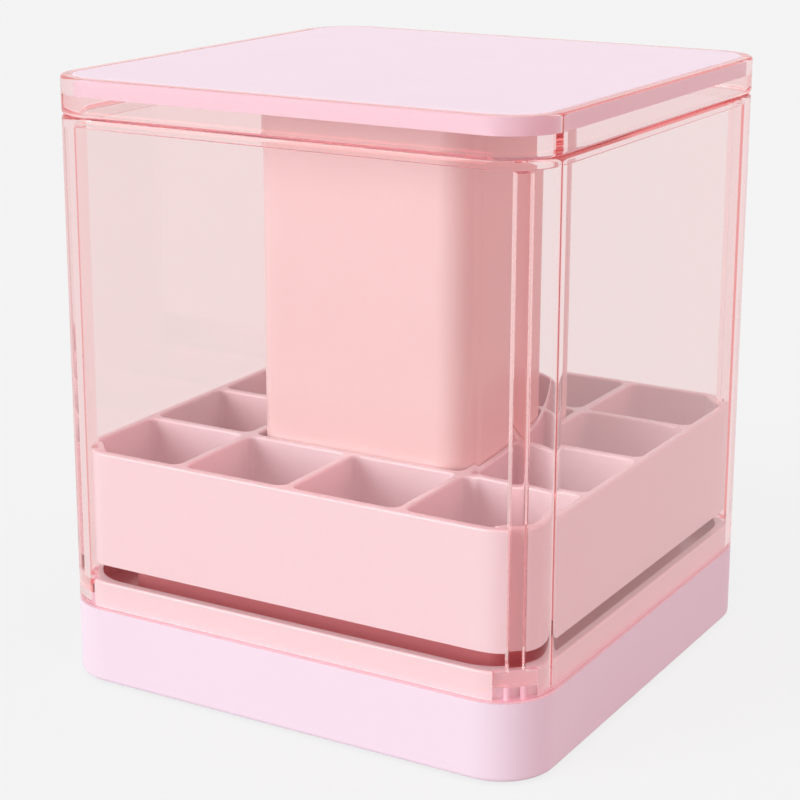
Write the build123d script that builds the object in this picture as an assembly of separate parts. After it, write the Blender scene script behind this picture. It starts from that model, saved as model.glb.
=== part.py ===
from build123d import *
import os

# A square, dust-proof lip gloss organizer with a pull-up tray.
# A clear case stands on an opaque base. The lid, a square column and a tray with twelve pockets are one
# carrier, which slides up and down on a mast that is fixed in the base.
# Millimetres, +Z up. The origin is at the centre of the underside, at the level that the feet stand on.

# Outside of the box
case_side = 120.0
corner_radius = 12.6
base_height = 17.5
wall_height = 111.2
lid_height = 8.4
seam_round = 0.9  # rounding of the two edges that meet at the lid's parting line
lid_edge_round = 0.6
base_edge_round = 1.0

# Base
foot_proud = 0.6
foot_radius = 7.0
foot_recess = 1.0
foot_edge = 15.0  # from the box's side to a foot's centre
base_wall = 2.6
base_deck = 2.4
locating_pin_radius = 0.7
locating_pin_gap = 0.05
locating_pin_spacing = 3.3
cover_thickness = 3.0
cover_fit = 0.2
cover_screw_edge = 12.0
boss_radius = 3.5
ballast_side = 68.0
ballast_thickness = 2.5
ballast_corner = 4.0
ballast_fit = 0.2
frame_wall = 1.5
frame_height = 2.0
pillar_edge = 9.0  # from the ballast's side to a pillar's centre
pillar_radius = 3.0
pillar_gap = 0.1

# Riser deck
riser_height = 6.2
riser_deck_thickness = 2.2
riser_wall = 2.0
riser_fit = 0.15
riser_screw_edge = 22.0
riser_edge_round = 0.5
channel_width = 7.9
channel_floor = 2.0
channel_corner = 11.5

# Clear case
clear_wall = 2.5
rail_half_width = 1.6
rail_depth = 3.1  # from the wall's inner corner to the rib's face
rail_clearance = 0.2
rail_top_gap = 0.4
lug_bottom = 3.0  # above the base's top
lug_depth = 1.9
lug_half_width = 4.4
lug_fit = 0.1

# Tray
tray_gap = 3.7  # dark gap between the riser deck and the tray's skirt
tray_height = 26.4
tray_fit = 1.1  # between the tray and the clear wall
tray_wall = 2.0
tray_floor = 2.0
tray_skirt = 2.0  # how far the wall reaches below the floor
tray_edge_round = 0.5
divider = 2.0
pocket_corner = 2.0
groove_wall = 1.6  # of the tray behind the groove for each rib
bumper_radius = 4.0
bumper_recess = 1.0
bumper_edge = 18.0

# Column
column_side = 53.0
column_radius = 6.0
column_wall = 2.2
column_fit = 0.2  # between the column and the tray's well
column_boss_radius = 3.0
shoulder_height = 1.5
shoulder_reach = 1.8

# Guide mast and what runs on it
mast_room = 8.5  # from the column's outside to the mast's outside
mast_radius = 3.0
mast_wall = 2.5
mast_boss_radius = 3.0
mast_boss_bite = 0.6  # how far each screw boss runs into the mast's wall
mast_flange_reach = 6.0
mast_flange = 2.5
slide_clearance = 0.25
bush_height = 8.0
bush_fit = 0.2
floor_hole_clearance = 0.35
head_height = 8.0
head_plate = 3.0
head_clearance = 0.3  # between the mast head and the column's inside
head_fit = 0.1
head_room = 1.4  # between the mast head and the column's cap when closed
stop_gap = 0.3
pad_width = 12.0
pad_height = 5.0
pad_recess = 1.0
pad_clearance = 0.05

# Lid
plate_thickness = 4.1
plate_fit = 0.1
plate_shoulder = 1.45
plate_edge_round = 0.3
lid_gap = 0.1
spigot_depth = 2.4
spigot_fit = 0.25
cap_plate = 2.4
cap_skirt = 3.8
cap_wall = 1.8
cap_fit = 0.1
cap_bead = 0.3
cap_bead_radius = 0.5
lid_screw_edge = 12.5  # from the column's side to a screw's centre

# Screws: pan heads with a cross recess
screw_radius = 1.3
screw_head_radius = 2.4
screw_head_height = 1.6
screw_hole_clearance = 0.25
screw_pilot_clearance = 0.02
screw_recess_clearance = 0.4
screw_recess_depth = 1.7
cross_width = 0.6
cross_length = 2.8
cross_depth = 0.8
cover_screw_length = 9.0
riser_screw_length = 6.0
mast_screw_length = 9.0
head_screw_length = 8.0
column_screw_length = 8.0
lid_screw_length = 5.0
pilot_extra = 0.5

# Levels, worked out from the sizes above
base_bottom = foot_proud
base_top = base_bottom + base_height
case_top = base_top + wall_height
lid_bottom = case_top + lid_gap
lid_top = lid_bottom + lid_height
plate_bottom = lid_top - plate_thickness
riser_top = base_top + riser_height
riser_under = riser_top - riser_deck_thickness
tray_bottom = riser_top + tray_gap
tray_top = tray_bottom + tray_height
floor_bottom = tray_bottom + tray_skirt
floor_top = floor_bottom + tray_floor
base_deck_under = base_top - base_deck
cover_top = base_bottom + cover_thickness
shoulder_bottom = floor_top + bush_height
shoulder_top = shoulder_bottom + shoulder_height
cap_bottom = plate_bottom - cap_plate - cap_skirt
head_top = cap_bottom - head_room
head_bottom = head_top - head_height
mast_top = head_top - head_plate
spigot_bottom = lid_bottom - spigot_depth
lug_level = base_top + lug_bottom
lift_travel = head_bottom - shoulder_top - stop_gap

# Half sides, worked out from the sizes above
case_half = case_side / 2
case_inner = case_half - clear_wall
case_inner_radius = corner_radius - clear_wall
tray_half = case_inner - tray_fit
tray_radius = case_inner_radius - tray_fit
tray_inner = tray_half - tray_wall
tray_inner_radius = tray_radius - tray_wall
column_half = column_side / 2
column_inner = column_half - column_wall
column_inner_radius = column_radius - column_wall
block_half = column_half + column_fit  # the well that the tray has for the column
mast_half = column_half - mast_room
foot_inset = case_half - foot_edge
cover_screw_inset = case_half - cover_screw_edge
riser_screw_inset = case_half - riser_screw_edge
bumper_inset = case_half - bumper_edge
pillar_inset = ballast_side / 2 - pillar_edge
lid_screw_inset = column_half - lid_screw_edge
column_boss_inset = column_inner - column_boss_radius
mast_boss_inset = mast_half - mast_wall - mast_boss_radius + mast_boss_bite


def prism(half, radius, bottom, top):
    """A square block with rounded upright edges, between two levels."""
    return Pos(0, 0, bottom) * extrude(RectangleRounded(2 * half, 2 * half, radius), top - bottom)


def ring(outer, outer_radius, inner, inner_radius, bottom, top):
    """A square tube with rounded upright edges."""
    return prism(outer, outer_radius, bottom, top) - prism(inner, inner_radius, bottom, top)


def post(x, y, radius, bottom, top):
    return Pos(x, y, bottom) * extrude(Circle(radius), top - bottom)


def block(low, high):
    """A plain box between two corners."""
    size = [h - l for l, h in zip(low, high)]
    centre = [(l + h) / 2 for l, h in zip(low, high)]
    return Pos(*centre) * Box(*size)


def corners(inset):
    return [(x, y) for x in (-inset, inset) for y in (-inset, inset)]


def sides(inset):
    return [(inset, 0), (0, inset), (-inset, 0), (0, -inset)]


def rim_edges(solid, level):
    """The edges of a solid that lie at one level."""
    flat = [e for e in solid.edges() if e.bounding_box().size.Z < 0.001]
    return [e for e in flat if abs(e.center().Z - level) < 0.001]


def outline_edges(solid, level, half):
    """The edges at one level that follow a square outline of one half side."""
    found = []
    for edge in rim_edges(solid, level):
        box = edge.bounding_box()
        reach = max(abs(box.min.X), abs(box.max.X), abs(box.min.Y), abs(box.max.Y))
        if abs(reach - half) < 0.001:
            found.append(edge)
    return found


def corner_distance(half, radius):
    """How far a rounded square's corner lies from its centre, along the diagonal."""
    return 2 ** 0.5 * (half - radius) + radius


def on_corners(make):
    """Four copies of what make() builds on the +X diagonal, one for each corner."""
    return [Rot(0, 0, 45 + 90 * turn) * make() for turn in range(4)]


def screw(x, y, seat, length, heads_down=True):
    """A pan-head screw whose head bears on the level seat. Its shank points up if the head is down."""
    shank = post(0, 0, screw_radius, 0, length)
    head = post(0, 0, screw_head_radius, -screw_head_height, 0)
    head = fillet(rim_edges(head, -screw_head_height), screw_head_height / 3)
    for turn in (0, 90):
        arm = Box(cross_length, cross_width, cross_depth)
        head -= Rot(0, 0, turn) * Pos(0, 0, cross_depth / 2 - screw_head_height) * arm
    tip = chamfer(rim_edges(shank, length), screw_radius / 3)
    whole = head + tip
    if not heads_down:
        whole = Rot(180, 0, 0) * whole
    return Pos(x, y, seat) * whole


def screw_set(places, seat, length, heads_down=True):
    return Compound([s for x, y in places for s in screw(x, y, seat, length, heads_down).solids()])


def pilots(places, bottom, top):
    """Holes that a screw's shank bites into."""
    return [post(x, y, screw_radius + screw_pilot_clearance, bottom, top) for x, y in places]


def clear_holes(places, bottom, top):
    """Holes that a screw's shank passes through."""
    return [post(x, y, screw_radius + screw_hole_clearance, bottom, top) for x, y in places]


def head_recesses(places, bottom, top):
    return [post(x, y, screw_head_radius + screw_recess_clearance, bottom, top) for x, y in places]


cover_screw_places = sides(cover_screw_inset)
riser_screw_places = corners(riser_screw_inset)
mast_screw_places = corners(mast_boss_inset)
column_screw_places = corners(column_boss_inset)
lid_screw_places = corners(lid_screw_inset)
cover_screw_seat = base_bottom + screw_recess_depth
head_screw_seat = head_top - screw_recess_depth


def make_base_shell():
    """Opaque base block, open underneath, with cover bosses, ballast pillars and locating pins."""
    inner = case_half - base_wall
    shell = prism(case_half, corner_radius, base_bottom, base_top)
    shell = fillet(outline_edges(shell, base_bottom, case_half), base_edge_round)
    shell -= prism(inner, corner_radius - base_wall, base_bottom, base_deck_under)
    for x, y in cover_screw_places:
        shell += post(x, y, boss_radius, cover_top, base_deck_under)
    ballast_top = cover_top + ballast_thickness
    for x, y in corners(pillar_inset):
        shell += post(x, y, pillar_radius, ballast_top + pillar_gap, base_deck_under)
    pilot_top = cover_screw_seat + cover_screw_length + pilot_extra
    shell -= pilots(cover_screw_places, cover_top, pilot_top)
    shell -= clear_holes(riser_screw_places, base_deck_under, base_top)
    return shell + locating_pins()


def make_base_cover():
    """Plate that closes the base, with recesses for the feet and a low frame round the ballast."""
    half = case_half - base_wall - cover_fit
    radius = corner_radius - base_wall - cover_fit
    cover = prism(half, radius, base_bottom, cover_top)
    frame_inner = ballast_side / 2 + ballast_fit
    cover += ring(
        frame_inner + frame_wall,
        ballast_corner + frame_wall,
        frame_inner,
        ballast_corner,
        cover_top,
        cover_top + frame_height,
    )
    for x, y in corners(foot_inset):
        cover -= post(x, y, foot_radius, base_bottom, base_bottom + foot_recess)
    cover -= head_recesses(cover_screw_places, base_bottom, cover_screw_seat)
    cover -= clear_holes(cover_screw_places, cover_screw_seat, cover_top)
    return cover


def make_feet():
    feet = []
    for x, y in corners(foot_inset):
        foot = post(x, y, foot_radius, 0, base_bottom + foot_recess)
        feet.append(fillet(rim_edges(foot, 0), foot_proud / 2))
    return Compound([solid for foot in feet for solid in foot.solids()])


def make_ballast():
    return prism(ballast_side / 2, ballast_corner, cover_top, cover_top + ballast_thickness)


def make_riser_deck():
    """Raised deck that fills the foot of the clear case and carries the mast and the bumpers.

    A channel runs round it under the tray's edge, so the gap there shows as a dark line.
    """
    half = case_inner - riser_fit
    radius = case_inner_radius - riser_fit
    channel_half = half - riser_wall
    inner = channel_half - channel_width
    inner_radius = channel_corner - channel_width
    deck = prism(half, radius, base_top, riser_top)
    deck = fillet(outline_edges(deck, riser_top, half), riser_edge_round)
    deck -= prism(inner - riser_wall, inner_radius - riser_wall, base_top, riser_under)
    deck -= ring(channel_half, channel_corner, inner, inner_radius, base_top + channel_floor, riser_top)
    for x, y in riser_screw_places:
        deck += post(x, y, boss_radius, base_top, riser_under)
    deck -= pilots(riser_screw_places, base_top, base_top - base_deck + riser_screw_length + pilot_extra)
    deck -= clear_holes(mast_screw_places, riser_under, riser_top)
    for x, y in sides(bumper_inset):
        deck -= post(x, y, bumper_radius, riser_top - bumper_recess, riser_top)
    return deck - lug_recesses()


def lug_face():
    """Distance along the diagonal of the flat inner face of the case's corner lugs."""
    return corner_distance(case_inner, case_inner_radius) - lug_depth


def lug_recesses():
    """Upright slots in the riser's corners, for the case's lugs and the pins under them."""
    far = corner_distance(case_half, corner_radius)
    reach = lug_half_width + lug_fit

    def one():
        return block((lug_face() - lug_fit, -reach, base_top), (far, reach, riser_top))

    return on_corners(one)


def locating_pins():
    """Two small upright pins in each corner of the base's top, which centre the clear case under its lugs."""
    wall = corner_distance(case_inner, case_inner_radius) - locating_pin_gap
    low, high = base_top - base_deck / 2, lug_level - lug_fit

    def one():
        pins = []
        for side in (-locating_pin_spacing / 2, locating_pin_spacing / 2):
            arc_drop = case_inner_radius - (case_inner_radius**2 - side**2) ** 0.5
            centre = wall - arc_drop - locating_pin_radius
            pins.append(post(centre, side, locating_pin_radius, low, high))
        return pins[0] + pins[1]

    return on_corners(one)


def rail_face():
    """Distance along the diagonal of the flat inner face of the case's corner ribs."""
    return corner_distance(case_inner, case_inner_radius) - rail_depth


def rail_grooves(wall):
    """Upright grooves in the tray's corners in which the ribs run, with a wall of a thickness round them."""
    far = corner_distance(case_half, corner_radius)
    reach = rail_half_width + rail_clearance + wall

    face = rail_face() - rail_clearance - wall

    def one():
        return block((face, -reach, tray_bottom), (far, reach, tray_top + tray_height))

    return on_corners(one)


def make_clear_case():
    """Clear wall with a guide rib down each inner corner and a lug at its foot."""
    wall = prism(case_half, corner_radius, base_top, case_top)
    wall = fillet(outline_edges(wall, case_top, case_half), seam_round)
    wall -= prism(case_inner, case_inner_radius, base_top, case_top)
    middle = corner_distance(case_inner, case_inner_radius) + clear_wall / 2
    rail_top = spigot_bottom - rail_top_gap

    def rail():
        return block((rail_face(), -rail_half_width, riser_top), (middle, rail_half_width, rail_top))

    def lug():
        low = (lug_face(), -lug_half_width, lug_level)
        return block(low, (middle - clear_wall / 4, lug_half_width, riser_top))

    return wall + on_corners(rail) + on_corners(lug)


def make_mast():
    """Square tube with a screw boss in each corner and a flange at its foot."""
    tube = ring(mast_half, mast_radius, mast_half - mast_wall, mast_radius - mast_wall, riser_top, mast_top)
    for x, y in mast_screw_places:
        tube += post(x, y, mast_boss_radius, riser_top, mast_top)
    flange_half = mast_half + mast_flange_reach
    flange_top = riser_top + mast_flange
    tube += ring(flange_half, mast_radius, mast_half - mast_wall / 2, mast_radius, riser_top, flange_top)
    tube -= pilots(mast_screw_places, riser_top, riser_under + mast_screw_length + pilot_extra)
    tube -= pilots(mast_screw_places, head_screw_seat - head_screw_length - pilot_extra, mast_top)
    return tube


def make_mast_head():
    """Block on the mast's top. It keeps the column upright, holds the pads and stops the lift."""
    half = column_inner - head_clearance
    radius = column_inner_radius - head_clearance
    head = prism(half, radius, head_bottom, head_top)
    head -= prism(mast_half + head_fit, mast_radius + head_fit, head_bottom, mast_top)
    head -= head_recesses(mast_screw_places, head_screw_seat, head_top)
    head -= clear_holes(mast_screw_places, mast_top, head_screw_seat)
    for turn in range(4):
        head -= Rot(0, 0, 90 * turn) * pad_block(half - pad_recess, half)
    return head


def pad_block(inner, outer):
    middle = (head_bottom + head_top) / 2
    low = (inner, -pad_width / 2, middle - pad_height / 2)
    high = (outer, pad_width / 2, middle + pad_height / 2)
    return block(low, high)


def make_pads():
    """Soft pads that brush the inside of the column and hold it where it is left."""
    inner = column_inner - head_clearance - pad_recess
    outer = column_inner - pad_clearance
    pads = [Rot(0, 0, 90 * turn) * pad_block(inner, outer) for turn in range(4)]
    return Compound([solid for pad in pads for solid in pad.solids()])


def make_bumpers():
    low = riser_top - bumper_recess
    bumpers = [post(x, y, bumper_radius, low, floor_bottom) for x, y in sides(bumper_inset)]
    return Compound([solid for bumper in bumpers for solid in bumper.solids()])


def pocket(low_x, low_y, high_x, high_y):
    """One pocket's space, with rounded upright corners."""
    outline = RectangleRounded(high_x - low_x, high_y - low_y, pocket_corner)
    place = Pos((low_x + high_x) / 2, (low_y + high_y) / 2, floor_top)
    return place * extrude(outline, tray_height)


def pockets():
    """Three pockets for each corner of the tray: one in the corner itself and one along each side."""
    near, far = block_half + divider, tray_inner
    wall_space = prism(tray_inner, tray_inner_radius, floor_top, tray_top + tray_height)
    spaces = []
    for turn in range(4):
        for low_x, high_x in ((-block_half, -divider / 2), (divider / 2, block_half)):
            spaces.append(Rot(0, 0, 90 * turn) * pocket(low_x, near, high_x, far))
        corner = pocket(near, near, far, far) & wall_space
        spaces.append(Rot(0, 0, 90 * turn) * (corner - rail_grooves(groove_wall)))
    return spaces


def make_tray():
    """Tray with twelve pockets round a square well for the column, and a short skirt under its floor.

    A groove down each corner takes the case's rib, so the tray can't turn.
    """
    tray = prism(tray_half, tray_radius, tray_bottom, tray_top)
    tray -= pockets()
    tray -= prism(block_half, pocket_corner, floor_top, tray_top)
    tray = fillet(rim_edges(tray, tray_top), tray_edge_round)
    tray -= prism(tray_inner, tray_inner_radius, tray_bottom, floor_bottom) - rail_grooves(groove_wall)
    tray -= rail_grooves(0)
    hole = mast_half + floor_hole_clearance
    tray -= prism(hole, mast_radius + floor_hole_clearance, floor_bottom, floor_top)
    tray -= clear_holes(column_screw_places, floor_bottom, floor_top)
    return tray


def make_column():
    """Square column with screw bosses in its foot and an inner shoulder over the bush."""
    shell = ring(column_half, column_radius, column_inner, column_inner_radius, floor_top, plate_bottom)
    shoulder_inner = column_inner - shoulder_reach
    shell += ring(
        column_half - column_wall / 2,
        column_radius - column_wall / 2,
        shoulder_inner,
        column_inner_radius - shoulder_reach,
        shoulder_bottom,
        shoulder_top,
    )
    middle, middle_radius = column_half - column_wall / 2, column_radius - column_wall / 2
    foot_space = prism(middle, middle_radius, floor_top, shoulder_bottom)
    for x, y in column_screw_places:
        shell += post(x, y, column_boss_radius, floor_top, shoulder_bottom) & foot_space
    shell -= pilots(column_screw_places, floor_top, floor_bottom + column_screw_length + pilot_extra)
    return shell - cap_beads(cap_fit)


def cap_beads(grow):
    """Round beads on the sides of the column's cap, or with grow the grooves that they snap into."""
    level = cap_bottom + cap_skirt / 2
    reach = column_inner - cap_fit + cap_bead - cap_bead_radius
    length = column_inner
    beads = []
    for turn in range(4):
        rod = Pos(reach, 0, level) * Rot(90, 0, 0) * Cylinder(cap_bead_radius + grow, length + 2 * grow)
        beads.append(Rot(0, 0, 90 * turn) * rod)
    return beads


def make_cap():
    """Plug with a snap skirt that closes the column and carries the lid."""
    half = column_inner - cap_fit
    radius = column_inner_radius - cap_fit
    cap = prism(half, radius, cap_bottom, plate_bottom)
    cap += cap_beads(0)
    cap -= prism(half - cap_wall, radius - cap_wall, cap_bottom, plate_bottom - cap_plate)
    cap -= clear_holes(lid_screw_places, plate_bottom - cap_plate, plate_bottom)
    return cap


def make_bush():
    """Slippery ring that runs on the mast. Its corners clear the column's screw bosses."""
    half = column_inner - bush_fit
    radius = column_inner_radius - bush_fit
    bore = mast_half + slide_clearance
    bush = ring(half, radius, bore, mast_radius + slide_clearance, floor_top, shoulder_bottom)
    for x, y in column_screw_places:
        bush -= post(x, y, column_boss_radius + bush_fit, floor_top, shoulder_bottom)
        low = (min(x, 2 * x), min(y, 2 * y), floor_top)
        high = (max(x, 2 * x), max(y, 2 * y), shoulder_bottom)
        bush -= block(low, high)
    return bush


def make_lid_plate():
    half = case_inner - plate_fit
    plate = prism(half, case_inner_radius - plate_fit, plate_bottom, lid_top)
    plate = fillet(rim_edges(plate, lid_top), plate_edge_round)
    depth = plate_bottom - cap_plate + lid_screw_length
    return plate - pilots(lid_screw_places, plate_bottom, depth + pilot_extra)


def make_lid_rim():
    """Clear rim. The plate stands on its inner shoulder, and a spigot below enters the case."""
    rim = prism(case_half, corner_radius, lid_bottom, lid_top)
    rim = fillet(outline_edges(rim, lid_bottom, case_half), seam_round)
    rim = fillet(outline_edges(rim, lid_top, case_half), lid_edge_round)
    rim += prism(case_inner - spigot_fit, case_inner_radius - spigot_fit, spigot_bottom, lid_bottom)
    rim -= prism(case_inner - plate_shoulder, case_inner_radius - plate_shoulder, spigot_bottom, plate_bottom)
    return rim - prism(case_inner, case_inner_radius, plate_bottom, lid_top)


pieces = {
    "base_shell": make_base_shell(),
    "base_cover": make_base_cover(),
    "cover_screws": screw_set(cover_screw_places, cover_screw_seat, cover_screw_length),
    "rubber_feet": make_feet(),
    "ballast_plate": make_ballast(),
    "riser_deck": make_riser_deck(),
    "riser_screws": screw_set(riser_screw_places, base_deck_under, riser_screw_length),
    "clear_case": make_clear_case(),
    "guide_mast": make_mast(),
    "mast_screws": screw_set(mast_screw_places, riser_under, mast_screw_length),
    "mast_head": make_mast_head(),
    "mast_head_screws": screw_set(mast_screw_places, head_screw_seat, head_screw_length, heads_down=False),
    "friction_pads": make_pads(),
    "tray_bumpers": make_bumpers(),
    "pocket_tray": make_tray(),
    "column_shell": make_column(),
    "column_screws": screw_set(column_screw_places, floor_bottom, column_screw_length),
    "guide_bush": make_bush(),
    "column_cap": make_cap(),
    "lid_screws": screw_set(lid_screw_places, plate_bottom - cap_plate, lid_screw_length),
    "lid_plate": make_lid_plate(),
    "lid_rim": make_lid_rim(),
}

os.makedirs("parts", exist_ok=True)
for name, piece in pieces.items():
    export_step(piece, f"parts/{name}.step")
print("lift travel", round(lift_travel, 3), "height", round(lid_top, 3))
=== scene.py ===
import math

import bmesh
import bpy
from mathutils import Matrix, Vector


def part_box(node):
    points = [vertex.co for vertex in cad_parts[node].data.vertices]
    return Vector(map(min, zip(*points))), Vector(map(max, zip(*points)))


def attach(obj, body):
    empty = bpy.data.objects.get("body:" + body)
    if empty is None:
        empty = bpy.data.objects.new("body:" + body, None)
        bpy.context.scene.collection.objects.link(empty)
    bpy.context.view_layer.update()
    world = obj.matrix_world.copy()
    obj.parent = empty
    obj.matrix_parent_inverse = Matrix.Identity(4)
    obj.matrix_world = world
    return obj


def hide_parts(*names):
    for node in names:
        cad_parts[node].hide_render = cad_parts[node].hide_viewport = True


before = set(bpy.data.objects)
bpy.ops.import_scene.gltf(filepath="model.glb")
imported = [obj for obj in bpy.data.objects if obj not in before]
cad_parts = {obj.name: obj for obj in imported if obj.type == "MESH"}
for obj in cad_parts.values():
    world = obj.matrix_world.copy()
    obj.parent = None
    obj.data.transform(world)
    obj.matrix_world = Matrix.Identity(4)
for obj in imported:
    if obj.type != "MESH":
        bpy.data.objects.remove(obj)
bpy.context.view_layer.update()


# Base shell
# The opaque block under the box is one hollow injection moulding of lavender ABS, open underneath.
# It was moulded against a finely blasted tool, so it is satin, with a soft, even sheen and no visible grain
# until it is looked at from close by.
MM = 0.001


def linear(hex_colour):
    """An sRGB hex colour as linear red, green, blue and an alpha of 1."""
    shares = [int(hex_colour[i : i + 2], 16) / 255 for i in (1, 3, 5)]
    return [s / 12.92 if s <= 0.04045 else ((s + 0.055) / 1.055) ** 2.4 for s in shares] + [1.0]


def node(tree, kind, sockets=None, **settings):
    """Adds a node with its settings. Each socket gets a value, or a link from another node's output."""
    made = tree.nodes.new(kind)
    for name, value in settings.items():
        setattr(made, name, value)
    for key, value in (sockets or {}).items():
        if isinstance(value, bpy.types.NodeSocket):
            tree.links.new(value, made.inputs[key])
        else:
            made.inputs[key].default_value = value
    return made


FLOW_SIZE, WAVE_SIZE, WAVE_HEIGHT = 40 * MM, 14 * MM, 0.012 * MM
SMOOTHEST, ROUGHEST = 0.9, 1.12
ABS_IOR = 1.54


def moulded_plastic(name, colour, shade, roughness, grain, grain_height):
    """Injection moulded plastic. It has slow colour drift from the flow of the melt, a fine tool grain, and
    the faint waves of a wall that shrank as it cooled. The grain is drawn coarser than a real tool's, so that
    it shows. Grain and its height are in millimetres."""
    material = bpy.data.materials.new(name)
    material.use_nodes = True
    tree = material.node_tree
    place = node(tree, "ShaderNodeTexCoord").outputs["Object"]
    flow = node(tree, "ShaderNodeTexNoise", {"Vector": place, "Scale": 1 / FLOW_SIZE, "Detail": 3.0})
    drift = node(
        tree,
        "ShaderNodeMix",
        {"Factor": flow.outputs["Fac"], "A": linear(colour), "B": linear(shade)},
        data_type="RGBA",
    )
    waves = node(tree, "ShaderNodeTexNoise", {"Vector": place, "Scale": 1 / WAVE_SIZE, "Detail": 1.0})
    specks = node(tree, "ShaderNodeTexNoise", {"Vector": place, "Scale": 1 / (grain * MM), "Detail": 2.0})
    wavy = node(
        tree,
        "ShaderNodeBump",
        {"Height": waves.outputs["Fac"], "Distance": WAVE_HEIGHT, "Strength": 1.0},
    )
    grainy = node(
        tree,
        "ShaderNodeBump",
        {
            "Height": specks.outputs["Fac"],
            "Distance": grain_height * MM,
            "Strength": 1.0,
            "Normal": wavy.outputs["Normal"],
        },
    )
    gloss = node(
        tree,
        "ShaderNodeMapRange",
        {
            "Value": waves.outputs["Fac"],
            "To Min": roughness * SMOOTHEST,
            "To Max": roughness * ROUGHEST,
        },
    )
    shader = tree.nodes["Principled BSDF"]
    tree.links.new(drift.outputs["Result"], shader.inputs["Base Color"])
    tree.links.new(gloss.outputs["Result"], shader.inputs["Roughness"])
    tree.links.new(grainy.outputs["Normal"], shader.inputs["Normal"])
    shader.inputs["IOR"].default_value = ABS_IOR
    return material


def dress(node_name, material):
    """Gives a CAD piece its finish."""
    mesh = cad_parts[node_name].data
    mesh.materials.clear()
    mesh.materials.append(material)


lavender_abs = moulded_plastic(
    "satin_lavender_ABS", "#F9E0ED", "#F7DEEB", roughness=0.4, grain=0.35, grain_height=0.0016
)
dress("base_shell", lavender_abs)


# Ballast plate
# A cut piece of rolled mild steel, laid in the base to hold the box down when the lid is pulled.
# Rolling left long fine streaks along one way and a dull grey mill finish.
STREAK_WIDTH, STREAK_LENGTH, STREAK_HEIGHT = 0.5 * MM, 30 * MM, 0.004 * MM
MILL_GREY = "#9A9B9E"


def rolled_steel():
    material = bpy.data.materials.new("rolled_mild_steel")
    material.use_nodes = True
    tree = material.node_tree
    place = node(tree, "ShaderNodeTexCoord").outputs["Object"]
    along = node(
        tree,
        "ShaderNodeMapping",
        {"Vector": place, "Scale": (1 / STREAK_LENGTH, 1 / STREAK_WIDTH, 1 / STREAK_WIDTH)},
    )
    streaks = node(
        tree,
        "ShaderNodeTexNoise",
        {"Vector": along.outputs["Vector"], "Scale": 1.0, "Detail": 4.0},
    )
    gloss = node(
        tree,
        "ShaderNodeMapRange",
        {"Value": streaks.outputs["Fac"], "To Min": 0.32, "To Max": 0.55},
    )
    scored = node(
        tree,
        "ShaderNodeBump",
        {"Height": streaks.outputs["Fac"], "Distance": STREAK_HEIGHT, "Strength": 1.0},
    )
    shader = tree.nodes["Principled BSDF"]
    shader.inputs["Base Color"].default_value = linear(MILL_GREY)
    shader.inputs["Metallic"].default_value = 1.0
    tree.links.new(gloss.outputs["Result"], shader.inputs["Roughness"])
    tree.links.new(scored.outputs["Normal"], shader.inputs["Normal"])
    return material


dress("ballast_plate", rolled_steel())


# Base cover
# A flat lavender ABS plate that closes the base from below, with shallow round seats for the feet.
# The underside isn't meant to be seen, so its tool was left coarser and the plate is duller.
cover_abs = moulded_plastic(
    "matt_lavender_ABS", "#F5DCE9", "#F2D9E6", roughness=0.52, grain=0.5, grain_height=0.004
)
dress("base_cover", cover_abs)


# Cover screws
# Four zinc plated pan-head screws with a cross recess and a coarse thread that cuts its own way into plastic.
# The plating is a thin bright grey, a little cloudy, and each screw stopped at its own angle.
SCREW_HEAD_RADIUS, SCREW_HEAD_HEIGHT = 2.4 * MM, 1.6 * MM
SCREW_RADIUS, SCREW_CORE = 1.3 * MM, 1.0 * MM
THREAD_PITCH = 1.0 * MM
CROSS_WIDTH, CROSS_LENGTH, CROSS_DEPTH = 0.6 * MM, 2.8 * MM, 0.9 * MM
SCREW_SIDES, RINGS_PER_TURN = 20, 8
CREST_SHARE = 0.3  # of the pitch, from a crest's middle to its foot
CENTRE_HOLE = 0.02 * MM  # left in the middle of a turned face, which a cap then closes
SHARP_EDGE = math.radians(35)


def mesh_of_rings(name, rings):
    """A closed mesh through a list of rings with equal numbers of points, capped at both ends."""
    made = bmesh.new()
    loops = [[made.verts.new(point) for point in ring] for ring in rings]
    count = len(loops[0])
    for low, high in zip(loops, loops[1:]):
        for i in range(count):
            j = (i + 1) % count
            made.faces.new((low[i], low[j], high[j], high[i]))
    made.faces.new(reversed(loops[0]))
    made.faces.new(loops[-1])
    bmesh.ops.recalc_face_normals(made, faces=made.faces)
    mesh = bpy.data.meshes.new(name)
    made.to_mesh(mesh)
    made.free()
    mesh.shade_smooth()
    mesh.set_sharp_from_angle(angle=SHARP_EDGE)
    return mesh


def circle(radius, level, count):
    turns = [2 * math.pi * i / count for i in range(count)]
    return [(radius * math.cos(t), radius * math.sin(t), level) for t in turns]


def arc(centre_radius, centre_level, radius, start, end, steps):
    """Radius and level at points on an arc that starts and ends at these angles in degrees."""
    found = []
    for i in range(steps + 1):
        turn = math.radians(start + (end - start) * i / steps)
        found.append((centre_radius + radius * math.cos(turn), centre_level + radius * math.sin(turn)))
    return found


def thread_ring(level, start, end, count):
    """One ring of a threaded shank. The crest runs round it once for each pitch and fades out at both
    ends."""
    fade = max(0.0, min(1.0, (level - start) / THREAD_PITCH, (end - level) / THREAD_PITCH))
    points = []
    for i in range(count):
        share = (level / THREAD_PITCH - i / count) % 1
        crest = max(0.0, 1 - abs(share - 0.5) / CREST_SHARE)
        radius = SCREW_CORE + (SCREW_RADIUS - SCREW_CORE) * crest * fade
        turn = 2 * math.pi * i / count
        points.append((radius * math.cos(turn), radius * math.sin(turn), level))
    return points


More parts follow.
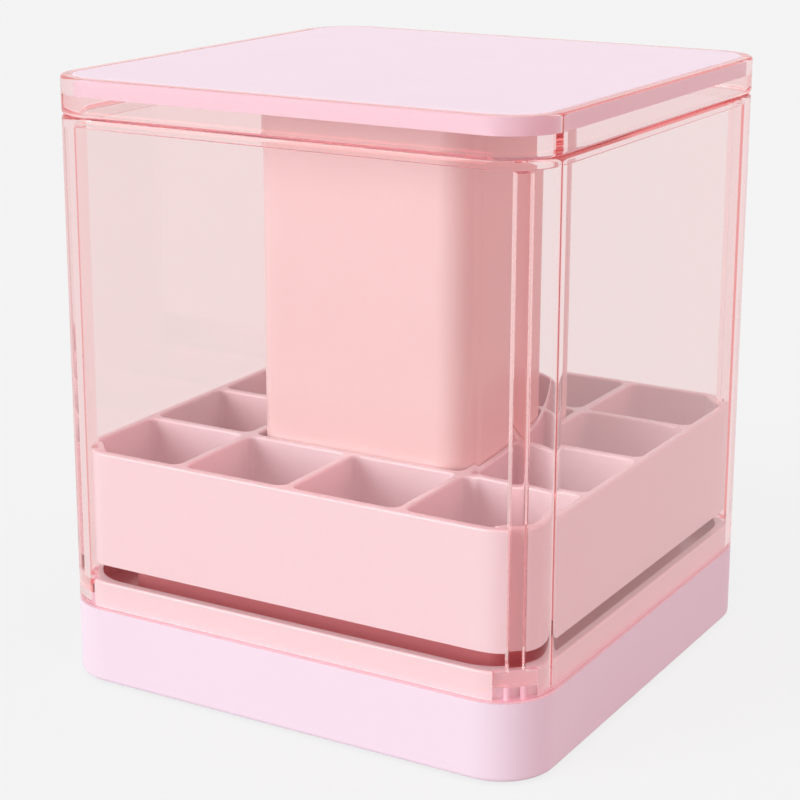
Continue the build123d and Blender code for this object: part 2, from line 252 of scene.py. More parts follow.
def cross_rings():
    """The driver's cross as straight rings, from below the head up to the bottom of its recess."""
    rings = []
    length, width = CROSS_LENGTH / 2, CROSS_WIDTH / 2
    quarter = [(length, -width), (length, width), (width, width)]
    for level in (-1.5 * SCREW_HEAD_HEIGHT, -SCREW_HEAD_HEIGHT, CROSS_DEPTH - SCREW_HEAD_HEIGHT):
        ring = []
        for turn in range(4):
            for x, y in quarter:
                for _ in range(turn):
                    x, y = -y, x
                ring.append((x, y, level))
        rings.append(ring)
    return rings


def screw_mesh(name, length):
    """A screw whose head bears on level 0 from below and whose shank points up."""
    edge = SCREW_HEAD_HEIGHT / 3
    head = [(CENTRE_HOLE, -SCREW_HEAD_HEIGHT)]
    head += arc(SCREW_HEAD_RADIUS - edge, edge - SCREW_HEAD_HEIGHT, edge, -90, 0, 5)
    head += [(SCREW_HEAD_RADIUS, 0), (SCREW_CORE, 0)]
    rings = [circle(radius, level, SCREW_SIDES) for radius, level in head]
    tip = SCREW_CORE / 2
    thread_end = length - tip
    steps = round(thread_end / THREAD_PITCH * RINGS_PER_TURN)
    rings += [thread_ring(thread_end * i / steps, 0, thread_end, SCREW_SIDES) for i in range(1, steps + 1)]
    rings.append(circle(SCREW_CORE - tip, length, SCREW_SIDES))
    body = bpy.data.objects.new(name, mesh_of_rings(name, rings))
    tool = bpy.data.objects.new("cross", mesh_of_rings("cross", cross_rings()))
    for made in (body, tool):
        bpy.context.scene.collection.objects.link(made)
    cut = body.modifiers.new("cross", "BOOLEAN")
    cut.operation, cut.solver, cut.object = "DIFFERENCE", "EXACT", tool
    mesh = baked(body)
    for spare in (body, tool):
        bpy.data.objects.remove(spare)
    mesh.set_sharp_from_angle(angle=SHARP_EDGE)
    return mesh


def baked(maker):
    """The plain mesh of an object with its modifiers carried out."""
    bpy.context.view_layer.update()
    depsgraph = bpy.context.evaluated_depsgraph_get()
    return bpy.data.meshes.new_from_object(maker.evaluated_get(depsgraph))


def new_tree(name, inputs):
    """An empty Geometry Nodes tree with its named inputs."""
    tree = bpy.data.node_groups.new(name, "GeometryNodeTree")
    tree.interface.new_socket("Geometry", in_out="INPUT", socket_type="NodeSocketGeometry")
    for label, kind in inputs.items():
        tree.interface.new_socket(label, in_out="INPUT", socket_type=kind)
    tree.interface.new_socket("Geometry", in_out="OUTPUT", socket_type="NodeSocketGeometry")
    return tree


def ring_of_four():
    """A tree that sets one shape at four places round the box's middle, each turned with its place. Spin adds
    an angle of its own to each copy, up to that many radians."""
    tree = new_tree(
        "ring_of_four",
        {
            "Reach": "NodeSocketFloat",
            "First Angle": "NodeSocketFloat",
            "Level": "NodeSocketFloat",
            "Spin": "NodeSocketFloat",
            "Seed": "NodeSocketInt",
            "Material": "NodeSocketMaterial",
        },
    )
    given = node(tree, "NodeGroupInput").outputs
    places = node(tree, "GeometryNodePoints", {"Count": 4})
    index = node(tree, "GeometryNodeInputIndex").outputs["Index"]
    quarter = node(tree, "ShaderNodeMath", {0: index, 1: math.pi / 2}, operation="MULTIPLY").outputs[0]
    angle = node(tree, "ShaderNodeMath", {0: quarter, 1: given["First Angle"]}, operation="ADD").outputs[0]
    east = node(tree, "ShaderNodeMath", {0: angle}, operation="COSINE").outputs[0]
    north = node(tree, "ShaderNodeMath", {0: angle}, operation="SINE").outputs[0]
    x = node(tree, "ShaderNodeMath", {0: east, 1: given["Reach"]}, operation="MULTIPLY").outputs[0]
    y = node(tree, "ShaderNodeMath", {0: north, 1: given["Reach"]}, operation="MULTIPLY").outputs[0]
    place = node(tree, "ShaderNodeCombineXYZ", {"X": x, "Y": y, "Z": given["Level"]}).outputs[0]
    set_out = node(tree, "GeometryNodeSetPosition", {"Geometry": places.outputs[0], "Position": place})
    own = node(
        tree,
        "FunctionNodeRandomValue",
        {"Min": 0.0, "Max": given["Spin"], "ID": index, "Seed": given["Seed"]},
        data_type="FLOAT",
    )
    chance = [o for o in own.outputs if o.enabled][0]
    turned = node(tree, "ShaderNodeMath", {0: angle, 1: chance}, operation="ADD").outputs[0]
    spin = node(tree, "ShaderNodeCombineXYZ", {"Z": turned}).outputs[0]
    copies = node(
        tree,
        "GeometryNodeInstanceOnPoints",
        {"Points": set_out.outputs[0], "Instance": given["Geometry"], "Rotation": spin},
    )
    real = node(tree, "GeometryNodeRealizeInstances", {"Geometry": copies.outputs[0]})
    finished = node(
        tree,
        "GeometryNodeSetMaterial",
        {"Geometry": real.outputs[0], "Material": given["Material"]},
    )
    node(tree, "NodeGroupOutput", {"Geometry": finished.outputs[0]})
    return tree


def grown(name, mesh, tree, sizes):
    """A plain mesh object that a Geometry Nodes tree makes from a mesh and its named sizes."""
    maker = bpy.data.objects.new("maker", mesh)
    bpy.context.scene.collection.objects.link(maker)
    shape = maker.modifiers.new("shape", "NODES")
    shape.node_group = tree
    for item in tree.interface.items_tree:
        if item.in_out == "INPUT" and item.name in sizes:
            shape[item.identifier] = sizes[item.name]
    result = baked(maker)
    bpy.data.objects.remove(maker)
    result.name = name
    piece = bpy.data.objects.new(name, result)
    bpy.context.scene.collection.objects.link(piece)
    return piece


ZINC_CLOUD = 0.6 * MM


def zinc_plate():
    """Bright zinc over steel: cloudy, slightly blue, with the fine crystals of the bath in its gloss."""
    material = bpy.data.materials.new("zinc_plated_steel")
    material.use_nodes = True
    tree = material.node_tree
    place = node(tree, "ShaderNodeTexCoord").outputs["Object"]
    clouds = node(tree, "ShaderNodeTexNoise", {"Vector": place, "Scale": 1 / ZINC_CLOUD, "Detail": 5.0})
    gloss = node(
        tree,
        "ShaderNodeMapRange",
        {"Value": clouds.outputs["Fac"], "To Min": 0.22, "To Max": 0.42},
    )
    tone = node(
        tree,
        "ShaderNodeMix",
        {"Factor": clouds.outputs["Fac"], "A": linear("#B9BCC4"), "B": linear("#CFD1D6")},
        data_type="RGBA",
    )
    shader = tree.nodes["Principled BSDF"]
    shader.inputs["Metallic"].default_value = 1.0
    tree.links.new(tone.outputs["Result"], shader.inputs["Base Color"])
    tree.links.new(gloss.outputs["Result"], shader.inputs["Roughness"])
    return material


FOUR = ring_of_four()
DIAGONAL = math.radians(45)
zinc = zinc_plate()


def screws(node_name, piece_name, body, on_corners=True, heads_up=False, seed=1):
    """Four screws where the box's own screws are, all with their heads down, or all up."""
    low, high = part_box(node_name)
    length = high.z - low.z - SCREW_HEAD_HEIGHT
    mesh = screw_mesh(piece_name, length)
    seat = low.z + SCREW_HEAD_HEIGHT
    if heads_up:
        mesh.transform(Matrix.Rotation(math.pi, 4, "X"))
        seat = high.z - SCREW_HEAD_HEIGHT
    reach = high.x - SCREW_HEAD_RADIUS
    piece = grown(
        piece_name,
        mesh,
        FOUR,
        {
            "Reach": reach * math.sqrt(2) if on_corners else reach,
            "First Angle": DIAGONAL if on_corners else 0.0,
            "Level": seat,
            "Spin": 2 * math.pi,
            "Seed": seed,
            "Material": zinc,
        },
    )
    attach(piece, body)
    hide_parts(node_name)


screws("cover_screws", "cover_screws_threaded", "case", on_corners=False, seed=3)


# Rubber feet
# Four soft silicone discs, pressed into the seats of the base cover. They stand out by 0.6 mm.
# Silicone is matt and a little see-through at its edge, so it takes light just under the surface.
FOOT_RADIUS, FOOT_EDGE, FOOT_SEAT_EDGE = 7 * MM, 0.3 * MM, 0.1 * MM
DUST_SIZE, DUST_HEIGHT = 0.25 * MM, 0.006 * MM
DISC_SIDES, CENTRE_SHARE = 48, 0.02
SILICONE_IOR, SILICONE_DEPTH = 1.41, 0.6 * MM


def silicone(name, colour):
    material = bpy.data.materials.new(name)
    material.use_nodes = True
    tree = material.node_tree
    place = node(tree, "ShaderNodeTexCoord").outputs["Object"]
    dust = node(tree, "ShaderNodeTexNoise", {"Vector": place, "Scale": 1 / DUST_SIZE, "Detail": 3.0})
    gloss = node(
        tree,
        "ShaderNodeMapRange",
        {"Value": dust.outputs["Fac"], "To Min": 0.55, "To Max": 0.8},
    )
    pitted = node(
        tree,
        "ShaderNodeBump",
        {"Height": dust.outputs["Fac"], "Distance": DUST_HEIGHT, "Strength": 1.0},
    )
    shader = tree.nodes["Principled BSDF"]
    shader.inputs["Base Color"].default_value = linear(colour)
    shader.inputs["IOR"].default_value = SILICONE_IOR
    shader.inputs["Subsurface Weight"].default_value = 0.3
    shader.inputs["Subsurface Radius"].default_value = (1.0, 0.8, 0.8)
    shader.inputs["Subsurface Scale"].default_value = SILICONE_DEPTH
    tree.links.new(gloss.outputs["Result"], shader.inputs["Roughness"])
    tree.links.new(pitted.outputs["Normal"], shader.inputs["Normal"])
    return material


def disc_mesh(name, radius, bottom, top, low_edge, high_edge):
    """A turned disc with a rounding at its lower and upper edge."""
    outline = [(radius * CENTRE_SHARE, bottom)]
    outline += arc(radius - low_edge, bottom + low_edge, low_edge, -90, 0, 4)
    outline += arc(radius - high_edge, top - high_edge, high_edge, 0, 90, 4)
    outline.append((radius * CENTRE_SHARE, top))
    return mesh_of_rings(name, [circle(r, z, DISC_SIDES) for r, z in outline])


def discs(node_name, piece_name, body, radius, on_corners, low_edge, high_edge, material):
    """Four discs where the box's own feet or bumpers are."""
    low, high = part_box(node_name)
    reach = high.x - radius
    piece = grown(
        piece_name,
        disc_mesh(piece_name, radius, low.z, high.z, low_edge, high_edge),
        FOUR,
        {
            "Reach": reach * math.sqrt(2) if on_corners else reach,
            "First Angle": DIAGONAL if on_corners else 0.0,
            "Level": 0.0,
            "Spin": 0.0,
            "Seed": 0,
            "Material": material,
        },
    )
    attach(piece, body)
    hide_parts(node_name)


foot_silicone = silicone("grey_pink_silicone", "#D9C9CF")
discs(
    "rubber_feet",
    "rubber_feet_pressed",
    "case",
    radius=FOOT_RADIUS,
    on_corners=True,
    low_edge=FOOT_EDGE,
    high_edge=FOOT_SEAT_EDGE,
    material=foot_silicone,
)


# Riser deck
# A pink deck that fills the foot of the clear case and is screwed to the base from below. It is moulded in
# glossy pink ABS, as the tray is. The channel behind its thin outer wall is coloured deep rose as painted
# shade, which shows as the dark line under the tray.
pink_abs = moulded_plastic(
    "glossy_pink_ABS", "#FEF3F6", "#FDF0F3", roughness=0.24, grain=0.3, grain_height=0.0006
)
DECK_WALL, CHANNEL_CORNER, CHANNEL_WIDTH, SHADE_BAND_MARGIN = 2.0 * MM, 11.5 * MM, 7.9 * MM, 0.1 * MM
# The deep rose is painted shade, standing for the shadow in the channel under the tray.
CHANNEL_PAINTED_SHADE = "#F4A6AC"


def plastic_with_painted_shade():
    """Pink ABS with painted shade in the channel: deep rose in a band of even width along a rounded square.
    """
    material = pink_abs.copy()
    material.name = "pink_ABS_with_painted_shade"
    tree = material.node_tree
    place = node(tree, "ShaderNodeTexCoord").outputs["Object"]
    flat = node(tree, "ShaderNodeVectorMath", {0: place, 1: (1, 1, 0)}, operation="MULTIPLY").outputs[0]
    quarter = node(tree, "ShaderNodeVectorMath", {0: flat}, operation="ABSOLUTE").outputs[0]
    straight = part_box("riser_deck")[1].x - DECK_WALL - CHANNEL_CORNER
    past = node(
        tree,
        "ShaderNodeVectorMath",
        {0: quarter, 1: (straight, straight, 0)},
        operation="SUBTRACT",
    )
    outward = node(tree, "ShaderNodeVectorMath", {0: past.outputs[0], 1: (0, 0, 0)}, operation="MAXIMUM")
    reach = node(tree, "ShaderNodeVectorMath", {0: outward.outputs[0]}, operation="LENGTH").outputs["Value"]
    inside = node(
        tree,
        "ShaderNodeMath",
        {0: reach, 1: CHANNEL_CORNER - CHANNEL_WIDTH / 2, 2: CHANNEL_WIDTH / 2 + SHADE_BAND_MARGIN},
        operation="COMPARE",
    )
    shader = tree.nodes["Principled BSDF"]
    pink = shader.inputs["Base Color"].links[0].from_socket
    # The channel band is mixed to deep rose here: painted shade, where the tray shades the channel.
    painted_shade_mix = node(
        tree,
        "ShaderNodeMix",
        {"Factor": inside.outputs[0], "A": pink, "B": linear(CHANNEL_PAINTED_SHADE)},
        data_type="RGBA",
    )
    tree.links.new(painted_shade_mix.outputs["Result"], shader.inputs["Base Color"])
    return material


dress("riser_deck", plastic_with_painted_shade())
screws("riser_screws", "riser_screws_threaded", "case", seed=5)


# Guide mast
# A square pink tube on a flange, screwed to the riser deck. The column slides up and down on it, so its
# flats carry faint upright rub marks.
RUB_WIDTH, RUB_LENGTH = 0.7 * MM, 60 * MM


def rubbed_plastic():
    material = pink_abs.copy()
    material.name = "rubbed_pink_ABS"
    tree = material.node_tree
    place = node(tree, "ShaderNodeTexCoord").outputs["Object"]
    along = node(
        tree,
        "ShaderNodeMapping",
        {"Vector": place, "Scale": (1 / RUB_WIDTH, 1 / RUB_WIDTH, 1 / RUB_LENGTH)},
    )
    marks = node(tree, "ShaderNodeTexNoise", {"Vector": along.outputs["Vector"], "Scale": 1.0, "Detail": 3.0})
    gloss = node(
        tree,
        "ShaderNodeMapRange",
        {
            "Value": marks.outputs["Fac"],
            "From Min": 0.35,
            "From Max": 0.7,
            "To Min": 0.22,
            "To Max": 0.42,
        },
    )
    shader = tree.nodes["Principled BSDF"]
    tree.links.new(gloss.outputs["Result"], shader.inputs["Roughness"])
    return material


dress("guide_mast", rubbed_plastic())
screws("mast_screws", "mast_screws_threaded", "case", seed=7)


# Mast head and its pads
# A block of white acetal, a slippery plastic with a waxy half gloss, is screwed on top of the mast. Four
# silicone pads sit in its sides and brush the inside of the column, so that the carrier stays where it is
# left.
acetal = moulded_plastic(
    "white_acetal", "#EDEDE6", "#E9E9E1", roughness=0.33, grain=0.3, grain_height=0.001
)
dress("mast_head", acetal)
screws("mast_head_screws", "mast_head_screws_threaded", "case", heads_up=True, seed=9)
PAD_EDGE = 0.25 * MM


def soft_block(name, size, edge):
    """A block with all its edges rounded, centred on the origin."""
    made = bmesh.new()
    bmesh.ops.create_cube(made, size=1)
    bmesh.ops.scale(made, vec=size, verts=made.verts)
    bmesh.ops.bevel(made, geom=made.edges[:], offset=edge, segments=3, profile=0.5, affect="EDGES")
    mesh = bpy.data.meshes.new(name)
    made.to_mesh(mesh)
    made.free()
    mesh.shade_smooth()
    mesh.set_sharp_from_angle(angle=math.radians(40))
    return mesh


pad_silicone = silicone("dusty_pink_silicone", "#CDB8B8")
pads_low, pads_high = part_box("friction_pads")
PAD_WIDTH, PAD_SEAT, PAD_STANDOUT = 12 * MM, 1.0 * MM, 0.25 * MM
PAD_DEPTH = PAD_SEAT + PAD_STANDOUT
pads = grown(
    "friction_pads_soft",
    soft_block("pad", (PAD_DEPTH, PAD_WIDTH, pads_high.z - pads_low.z), PAD_EDGE),
    FOUR,
    {
        "Reach": pads_high.x - PAD_DEPTH / 2,
        "First Angle": 0.0,
        "Level": (pads_low.z + pads_high.z) / 2,
        "Spin": 0.0,
        "Seed": 0,
        "Material": pad_silicone,
    },
)
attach(pads, "case")
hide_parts("friction_pads")


# Clear case
# Four walls in one moulding of pink tinted acrylic, 2.5 mm thick, cemented to the riser at its foot. Each
# inner corner has a square rib to guide the tray, and below it a lug that fits a flat in the riser. Acrylic
# is as clear as glass, and its tint is weak through a wall and strong along an edge.
CASE_CORNER, CASE_WALL, SEAM_EDGE, FINE_EDGE = 12.6 * MM, 2.5 * MM, 0.9 * MM, 0.15 * MM
ACRYLIC_IOR, ACRYLIC_WAVE, ACRYLIC_WAVE_HEIGHT = 1.49, 24 * MM, 0.02 * MM
MIRROR_TINT = (1, 0.12, 0.1, 1)
STRAIGHT_TINT = (0.985, 0.985, 0.985, 1)
DYE_COLOUR, DYE_DENSITY = (0.97, 0.29, 0.29, 1), 60.0
LONG_PATH = 6  # bounces, after which light goes straight on


def clear_acrylic():
    """Moulded clear plastic with a pink dye. Lamps and scattered light pass straight through it, tinted, so
    that what stands behind it is lit. Light that has bounced more times than LONG_PATH goes straight on,
    where it would otherwise end black. Its faces wave a little, as moulded faces do, and what they mirror is
    reddened, to match the photograph's red edges."""
    material = bpy.data.materials.new("pink_clear_acrylic")
    material.use_nodes = True
    tree = material.node_tree
    place = node(tree, "ShaderNodeTexCoord").outputs["Object"]
    waves = node(tree, "ShaderNodeTexNoise", {"Vector": place, "Scale": 1 / ACRYLIC_WAVE, "Detail": 1.0})
    wavy = node(
        tree,
        "ShaderNodeBump",
        {"Height": waves.outputs["Fac"], "Distance": ACRYLIC_WAVE_HEIGHT, "Strength": 1.0},
    )
    shader = tree.nodes["Principled BSDF"]
    shader.inputs["Base Color"].default_value = (1, 1, 1, 1)
    shader.inputs["Roughness"].default_value = 0.0
    shader.inputs["IOR"].default_value = ACRYLIC_IOR
    shader.inputs["Specular Tint"].default_value = MIRROR_TINT
    shader.inputs["Transmission Weight"].default_value = 1.0
    tree.links.new(wavy.outputs["Normal"], shader.inputs["Normal"])
    path = node(tree, "ShaderNodeLightPath").outputs
    through = node(
        tree,
        "ShaderNodeMath",
        {0: path["Is Shadow Ray"], 1: path["Is Diffuse Ray"]},
        operation="MAXIMUM",
    )
    worn = node(tree, "ShaderNodeMath", {0: path["Ray Depth"], 1: LONG_PATH}, operation="GREATER_THAN")
    leaves = node(
        tree,
        "ShaderNodeMath",
        {0: through.outputs[0], 1: worn.outputs[0]},
        operation="MAXIMUM",
    )
    straight = node(tree, "ShaderNodeBsdfTransparent", {"Color": STRAIGHT_TINT})
    surface = node(
        tree,
        "ShaderNodeMixShader",
        {0: leaves.outputs[0], 1: shader.outputs[0], 2: straight.outputs[0]},
    )
    dye = node(
        tree,
        "ShaderNodeVolumeAbsorption",
        {"Color": DYE_COLOUR, "Density": DYE_DENSITY},
    )
    out = tree.nodes["Material Output"]
    tree.links.new(surface.outputs[0], out.inputs["Surface"])
    tree.links.new(dye.outputs[0], out.inputs["Volume"])
    return material


EDGE_STEPS, CORNER_STEPS = 6, 32


def section_mesh(name, corners):
    """A closed outline in the XZ plane as a mesh of edges. Each corner has its reach, level and rounding."""
    points = []
    count = len(corners)
    for i, (x, z, radius) in enumerate(corners):
        here = Vector((x, z))
        before = (Vector(corners[i - 1][:2]) - here).normalized()
        after = (Vector(corners[(i + 1) % count][:2]) - here).normalized()
        if radius == 0:
            points.append(here)
            continue
        half_turn = before.angle(after) / 2
        centre = here + (before + after).normalized() * radius / math.sin(half_turn)
        start = here + before * radius / math.tan(half_turn) - centre
        end = here + after * radius / math.tan(half_turn) - centre
        sweep = start.angle_signed(end)
        for k in range(EDGE_STEPS + 1):
            turned = start.copy()
            turned.rotate(Matrix.Rotation(-sweep * k / EDGE_STEPS, 2))
            points.append(centre + turned)
    mesh = bpy.data.meshes.new(name)
    edges = [(i, (i + 1) % len(points)) for i in range(len(points))]
    mesh.from_pydata([(p.x, 0, p.y) for p in points], edges, [])
    return mesh


def round_square_sweep():
    """A tree that carries a closed section round a square with rounded corners. The section's X is its reach
    from the box's middle, and its Z is its level."""
    tree = new_tree(
        "round_square_sweep",
        {
            "Half Side": "NodeSocketFloat",
            "Corner Radius": "NodeSocketFloat",
            "Corner Steps": "NodeSocketInt",
            "Material": "NodeSocketMaterial",
        },
    )
    given = node(tree, "NodeGroupInput").outputs
    side = node(tree, "ShaderNodeMath", {0: given["Half Side"], 1: 2.0}, operation="MULTIPLY").outputs[0]
    square = node(tree, "GeometryNodeCurvePrimitiveQuadrilateral", {0: side, 1: side})
    path = node(
        tree,
        "GeometryNodeFilletCurve",
        {"Curve": square.outputs[0], "Radius": given["Corner Radius"], "Count": given["Corner Steps"]},
        mode="POLY",
    )
    upright = node(tree, "GeometryNodeSetCurveNormal", {"Curve": path.outputs[0]}, mode="Z_UP")
    back = node(tree, "ShaderNodeMath", {0: given["Half Side"], 1: -1.0}, operation="MULTIPLY").outputs[0]
    shift = node(tree, "ShaderNodeCombineXYZ", {"X": back}).outputs[0]
    laid = node(
        tree,
        "GeometryNodeTransform",
        {"Geometry": given["Geometry"], "Translation": shift, "Rotation": (math.pi / 2, 0, 0)},
    )
    section = node(tree, "GeometryNodeMeshToCurve", {"Mesh": laid.outputs[0]})
    swept = node(
        tree,
        "GeometryNodeCurveToMesh",
        {"Curve": upright.outputs[0], "Profile Curve": section.outputs[0]},
    )
    real = node(tree, "GeometryNodeRealizeInstances", {"Geometry": swept.outputs[0]})
    finished = node(
        tree,
        "GeometryNodeSetMaterial",
        {"Geometry": real.outputs[0], "Material": given["Material"]},
    )
    node(tree, "NodeGroupOutput", {"Geometry": finished.outputs[0]})
    return tree


def bar_mesh(name, low, high, nose=0.0):
    """A bar between two corners. Its nose, on the low X side, may have rounded upright edges."""
    made = bmesh.new()
    bmesh.ops.create_cube(made, size=1)
    bmesh.ops.scale(made, vec=Vector(high) - Vector(low), verts=made.verts)
    bmesh.ops.translate(made, vec=(Vector(low) + Vector(high)) / 2, verts=made.verts)
    if nose:
        on_nose = [v for v in made.verts if v.co.x < (low[0] + high[0]) / 2]
        upright = [e for e in made.edges if all(v in on_nose for v in e.verts)]
        upright = [e for e in upright if abs(e.verts[0].co.z - e.verts[1].co.z) > nose]
        bmesh.ops.bevel(made, geom=upright, offset=nose, segments=EDGE_STEPS, profile=0.5, affect="EDGES")
    mesh = bpy.data.meshes.new(name)
    made.to_mesh(mesh)
    made.free()
    return mesh


def joined(body, tools):
    """The union of one mesh object with others, as a plain mesh. The others are removed."""
    for tool in tools:
        weld = body.modifiers.new("join", "BOOLEAN")
        weld.operation, weld.solver, weld.object = "UNION", "EXACT", tool
    mesh = baked(body)
    body.modifiers.clear()
    for tool in tools:
        bpy.data.objects.remove(tool)
    return mesh


CLEAR_SHARP_EDGE = math.radians(30)


def even_shading(piece):
    """Smooth shading that keeps flat faces flat."""
    piece.data.shade_smooth()
    piece.data.set_sharp_from_angle(angle=CLEAR_SHARP_EDGE)
    weighted = piece.modifiers.new("even_shading", "WEIGHTED_NORMAL")
    weighted.keep_sharp = True
    weighted.weight = 100


def corner_distance(half, radius):
    """How far a rounded square's corner lies from its middle, along the diagonal."""
    return math.sqrt(2) * (half - radius) + radius


acrylic = clear_acrylic()
SWEEP = round_square_sweep()
case_low, case_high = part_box("clear_case")
case_half = case_high.x
case_inner = case_half - CASE_WALL
case_inner_radius = CASE_CORNER - CASE_WALL
case_section = section_mesh(
    "case_section",
    [
        (case_half, case_low.z, FINE_EDGE),
        (case_inner, case_low.z, FINE_EDGE),
        (case_inner, case_high.z, FINE_EDGE),
        (case_half, case_high.z, SEAM_EDGE),
    ],
)
clear_wall = grown(
    "clear_wall",
    case_section,
    SWEEP,
    {
        "Half Side": case_half,
        "Corner Radius": CASE_CORNER,
        "Corner Steps": CORNER_STEPS,
        "Material": acrylic,
    },
)
RAIL_HALF_WIDTH, RAIL_DEPTH, RAIL_TOP_GAP, RAIL_NOSE = 1.6 * MM, 3.1 * MM, 0.4 * MM, 0.5 * MM
LUG_LEVEL, LUG_DEPTH, LUG_HALF_WIDTH = 3.0 * MM, 1.9 * MM, 4.4 * MM
inner_corner = corner_distance(case_inner, case_inner_radius)
rail_face, lug_face = inner_corner - RAIL_DEPTH, inner_corner - LUG_DEPTH
wall_middle = inner_corner + CASE_WALL / 2
riser_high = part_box("riser_deck")[1]
rail_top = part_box("lid_rim")[0].z - RAIL_TOP_GAP
at_corners = {
    "Reach": 0.0,
    "First Angle": DIAGONAL,
    "Level": 0.0,
    "Spin": 0.0,
    "Seed": 0,
    "Material": acrylic,
}
rails = grown(
    "rails",
    bar_mesh(
        "rail",
        (rail_face, -RAIL_HALF_WIDTH, riser_high.z),
        (wall_middle, RAIL_HALF_WIDTH, rail_top),
        RAIL_NOSE,
    ),
    FOUR,
    at_corners,
)
lugs = grown(
    "lugs",
    bar_mesh(
        "lug",
        (lug_face, -LUG_HALF_WIDTH, case_low.z + LUG_LEVEL),
        (wall_middle - CASE_WALL / 4, LUG_HALF_WIDTH, riser_high.z),
    ),
    FOUR,
    at_corners,
)
clear_wall.data = joined(clear_wall, [rails, lugs])
even_shading(clear_wall)
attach(clear_wall, "case")
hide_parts("clear_case")


# Tray bumpers
# Four soft silicone buttons, set in round recesses in the riser deck. The tray lands on them, which leaves
# the even gap under it.
BUMPER_RADIUS, BUMPER_SEAT_EDGE, BUMPER_EDGE = 4 * MM, 0.1 * MM, 0.4 * MM
discs(
    "tray_bumpers",
    "tray_bumpers_soft",
    "case",
    radius=BUMPER_RADIUS,
    on_corners=False,
    low_edge=BUMPER_SEAT_EDGE,
    high_edge=BUMPER_EDGE,
    material=pad_silicone,
)


# Pocket tray
# One glossy pink moulding with twelve pockets round a square well for the column. It hangs on the column's
# foot and moves with it.
dress("pocket_tray", pink_abs)


# Column
# A square pink tube that stands in the tray's well and carries the lid. It is screwed to the tray from below.
# Its pink is a little warmer than the tray's.
warm_abs = moulded_plastic(
    "glossy_warm_pink_ABS", "#FFEAE7", "#FEE7E4", roughness=0.24, grain=0.3, grain_height=0.0006
)
dress("column_shell", warm_abs)
screws("column_screws", "column_screws_threaded", "carrier", seed=11)


# Guide bush
# A ring of white acetal in the column's foot, which runs on the mast without sticking. It lies between
# the column's shoulder and the tray's floor, which hold it in.
dress("guide_bush", acetal)


# Column cap
# A plug that snaps into the column's top and takes the lid's screws. It is moulded in the column's warmer
# pink ABS.
dress("column_cap", warm_abs)
screws("lid_screws", "lid_screws_threaded", "carrier", seed=13)


# Lid plate
# The opaque lavender panel that closes the top. It is moulded in the same satin ABS as the base, and screwed
# to the column's plug from below.
dress("lid_plate", lavender_abs)


# Lid rim
# A clear frame round the lid plate, moulded in the case's pink acrylic and cemented to the plate. A short
# spigot under it drops into the case, and the two rounded edges that meet there make the parting line.
LID_EDGE = 0.6 * MM
PLATE_SHOULDER, SPIGOT_GAP = 1.45 * MM, 0.25 * MM
rim_low, rim_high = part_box("lid_rim")
plate_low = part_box("lid_plate")[0]
LID_GAP = 0.1 * MM
rim_foot = case_high.z + LID_GAP
rim_section = section_mesh(
    "rim_section",
    [
        (case_half, rim_foot, SEAM_EDGE),
        (case_inner - SPIGOT_GAP, rim_foot, 0),
        (case_inner - SPIGOT_GAP, rim_low.z, FINE_EDGE),
        (case_inner - PLATE_SHOULDER, rim_low.z, FINE_EDGE),
        (case_inner - PLATE_SHOULDER, plate_low.z, FINE_EDGE),
        (case_inner, plate_low.z, 0),
        (case_inner, rim_high.z, FINE_EDGE),
        (case_half, rim_high.z, LID_EDGE),
    ],
)
clear_rim = grown(
    "clear_rim",
    rim_section,
    SWEEP,
    {
        "Half Side": case_half,
        "Corner Radius": CASE_CORNER,
        "Corner Steps": CORNER_STEPS,
        "Material": acrylic,
    },
)
even_shading(clear_rim)
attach(clear_rim, "carrier")
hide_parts("lid_rim")


# Floor
# A plain table top, painted white and wide enough to fill the view. It is very pale where it is seen, and it
# keeps the object's soft shadow.
FLOOR_REACH, FLOOR_GLOW = 4.0, 0.8


def seen_as_ground(tree):
    """1 for rays that show the ground: straight to the camera, through clear plastic or mirrored in it."""
    path = node(tree, "ShaderNodeLightPath").outputs
    through = node(
        tree,
        "ShaderNodeMath",
        {0: path["Is Camera Ray"], 1: path["Is Transmission Ray"]},
        operation="MAXIMUM",
    )
    seen = node(
        tree,
        "ShaderNodeMath",
        {0: through.outputs[0], 1: path["Is Glossy Ray"]},
        operation="MAXIMUM",
    )
    return seen.outputs[0]


def white_table():
    """White paint, which glows where it is seen as the ground."""
    material = bpy.data.materials.new("white_painted_table")
    material.use_nodes = True
    tree = material.node_tree
    tree.nodes.remove(tree.nodes["Principled BSDF"])
    paint = node(tree, "ShaderNodeBsdfDiffuse", {"Color": linear("#C4C4C4")})
    glow = node(tree, "ShaderNodeEmission", {"Color": (1, 1, 1, 1), "Strength": 1.0})
    share = node(tree, "ShaderNodeMath", {0: seen_as_ground(tree), 1: FLOOR_GLOW}, operation="MULTIPLY")
    surface = node(
        tree,
        "ShaderNodeMixShader",
        {0: share.outputs[0], 1: paint.outputs[0], 2: glow.outputs[0]},
    )
    tree.links.new(surface.outputs[0], tree.nodes["Material Output"].inputs["Surface"])
    return material


floor_mesh = bpy.data.meshes.new("floor")
floor_corners = [(x * FLOOR_REACH, y * FLOOR_REACH, 0) for x, y in ((-1, -1), (1, -1), (1, 1), (-1, 1))]
floor_mesh.from_pydata(floor_corners, [], [(0, 1, 2, 3)])
floor_mesh.materials.append(white_table())
floor = bpy.data.objects.new("floor", floor_mesh)
bpy.context.scene.collection.objects.link(floor)


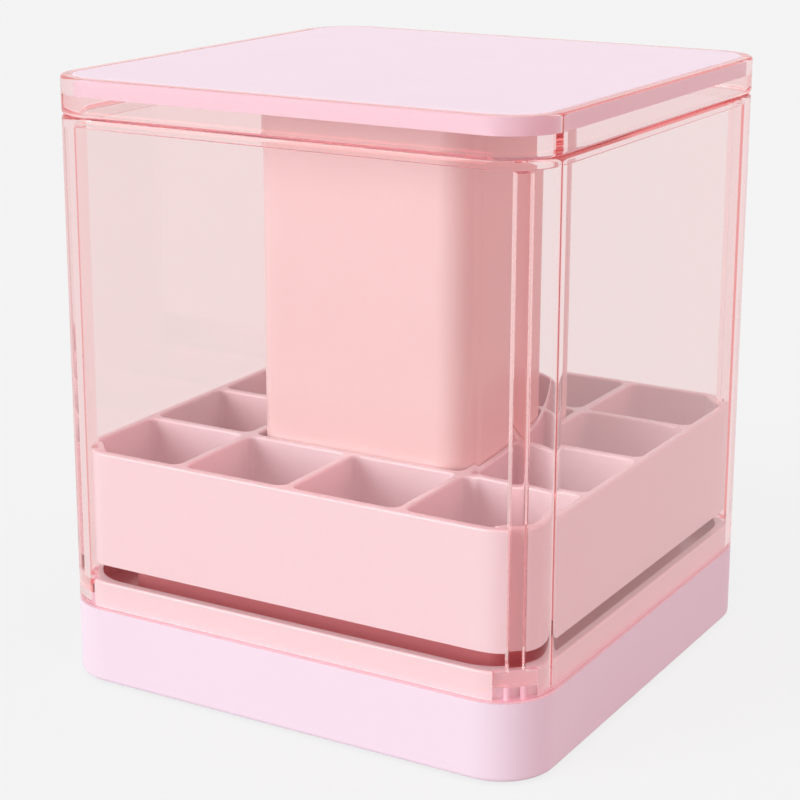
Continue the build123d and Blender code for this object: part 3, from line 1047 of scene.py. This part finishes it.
# Light
# A bright room, one large soft light from the front left, one from above, and a pink one from the right,
# which keeps the shaded side warm. Light bounces many times inside clear acrylic before it leaves an edge, so
# it is followed for longer.
ROOM_LIGHT = 0.41
world = bpy.data.worlds.new("room")
bpy.context.scene.world = world
world.use_nodes = True
room = world.node_tree
room.nodes.clear()
dim = node(room, "ShaderNodeBackground", {"Color": (1, 1, 1, 1), "Strength": ROOM_LIGHT})
white = node(room, "ShaderNodeBackground", {"Color": (1, 1, 1, 1), "Strength": 1.0})
room_mix = node(
    room,
    "ShaderNodeMixShader",
    {0: seen_as_ground(room), 1: dim.outputs[0], 2: white.outputs[0]},
)
node(room, "ShaderNodeOutputWorld", {"Surface": room_mix.outputs[0]})


def soft_light(name, source, strength, width, colour):
    """A parallel light from a direction, softened as by a lamp of that width in degrees."""
    light = bpy.data.lights.new(name, "SUN")
    light.energy, light.angle, light.color = strength, math.radians(width), linear(colour)[:3]
    made = bpy.data.objects.new(name, light)
    made.rotation_euler = Vector(source).to_track_quat("Z", "Y").to_euler()
    bpy.context.scene.collection.objects.link(made)


soft_light("front_left", source=(-0.5, -0.85, 0.22), strength=2.2, width=40, colour="#F8FDFF")
soft_light("above", source=(0.1, -0.1, 1.0), strength=1.1, width=60, colour="#F4FBFF")
soft_light("right", source=(1.0, 0.1, 0.1), strength=1.03, width=60, colour="#FF9AA2")
CLEAR_BOUNCES = 24
bpy.context.scene.cycles.glossy_bounces = CLEAR_BOUNCES
bpy.context.scene.cycles.transmission_bounces = CLEAR_BOUNCES
bpy.context.scene.cycles.max_bounces = CLEAR_BOUNCES


# Camera
# The photograph's view: from the front right, a little above the lid. The picture's middle is set
# slightly low, as the photograph's is.
CAMERA_PLACE = (0.2300, -0.4034, 0.1969)
CAMERA_YAW, CAMERA_DOWN, CAMERA_ROLL = 30.187, 14.733, 0.158
LENS_LENGTH, FILM_WIDTH, LENS_SHIFT = 93.36, 36, -0.08
lens = bpy.data.cameras.new("camera")
lens.lens, lens.sensor_width = LENS_LENGTH, FILM_WIDTH
lens.shift_y = LENS_SHIFT
camera = bpy.data.objects.new("camera", lens)
camera.location = CAMERA_PLACE
turn = Matrix.Rotation(math.radians(CAMERA_YAW), 4, "Z")
turn = turn @ Matrix.Rotation(math.radians(90 - CAMERA_DOWN), 4, "X")
turn = turn @ Matrix.Rotation(math.radians(CAMERA_ROLL), 4, "Z")
camera.rotation_euler = turn.to_euler()
bpy.context.scene.collection.objects.link(camera)
bpy.context.scene.camera = camera
bpy.context.scene.view_settings.view_transform = "Standard"
